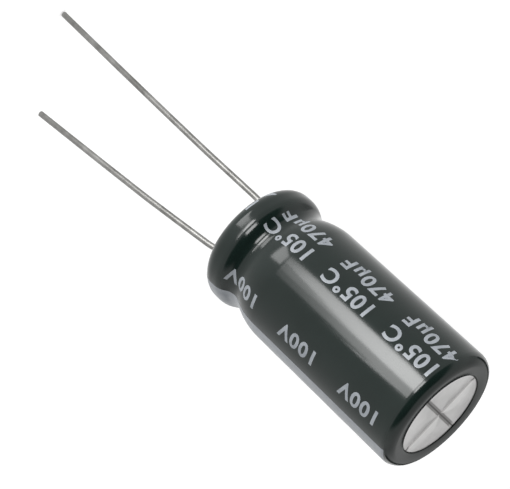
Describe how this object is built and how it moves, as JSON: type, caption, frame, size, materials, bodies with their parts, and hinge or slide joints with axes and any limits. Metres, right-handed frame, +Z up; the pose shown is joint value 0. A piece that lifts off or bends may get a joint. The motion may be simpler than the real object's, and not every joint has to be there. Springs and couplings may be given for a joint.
{
  "type": "radial aluminium electrolytic capacitor",
  "caption": "Upright can in a dark shrunk sleeve with a printed polarity stripe, a scored bare vent, a rubber seal, a wound element on flat tabs, and long tinned wires.",
  "frame": {"origin": "on the seating plane, midway between the two wires", "axes": "+Z up along the can to the vent, the wires point to -Z, +X toward the cathode wire and the printed stripe"},
  "size_m": [0.0164, 0.0162, 0.0775],
  "materials": {
    "film": "shrunk printed film",
    "can_metal": "drawn, clean",
    "seal_rubber": "moulded",
    "wound_paper": "soaked kraft paper over foil",
    "tape": "polyimide-like adhesive tape",
    "tab_metal": "pressed",
    "tinned_wire": "tin plated, slightly dull"
  },
  "bodies": {
    "root": {"sleeve": "film", "can": "can_metal", "rubber_seal": "seal_rubber", "wound_element": "wound_paper", "element_tape": "tape", "anode_tab": "tab_metal", "cathode_tab": "tab_metal", "anode_wire": "tinned_wire", "cathode_wire": "tinned_wire"}
  },
  "joints": []
}
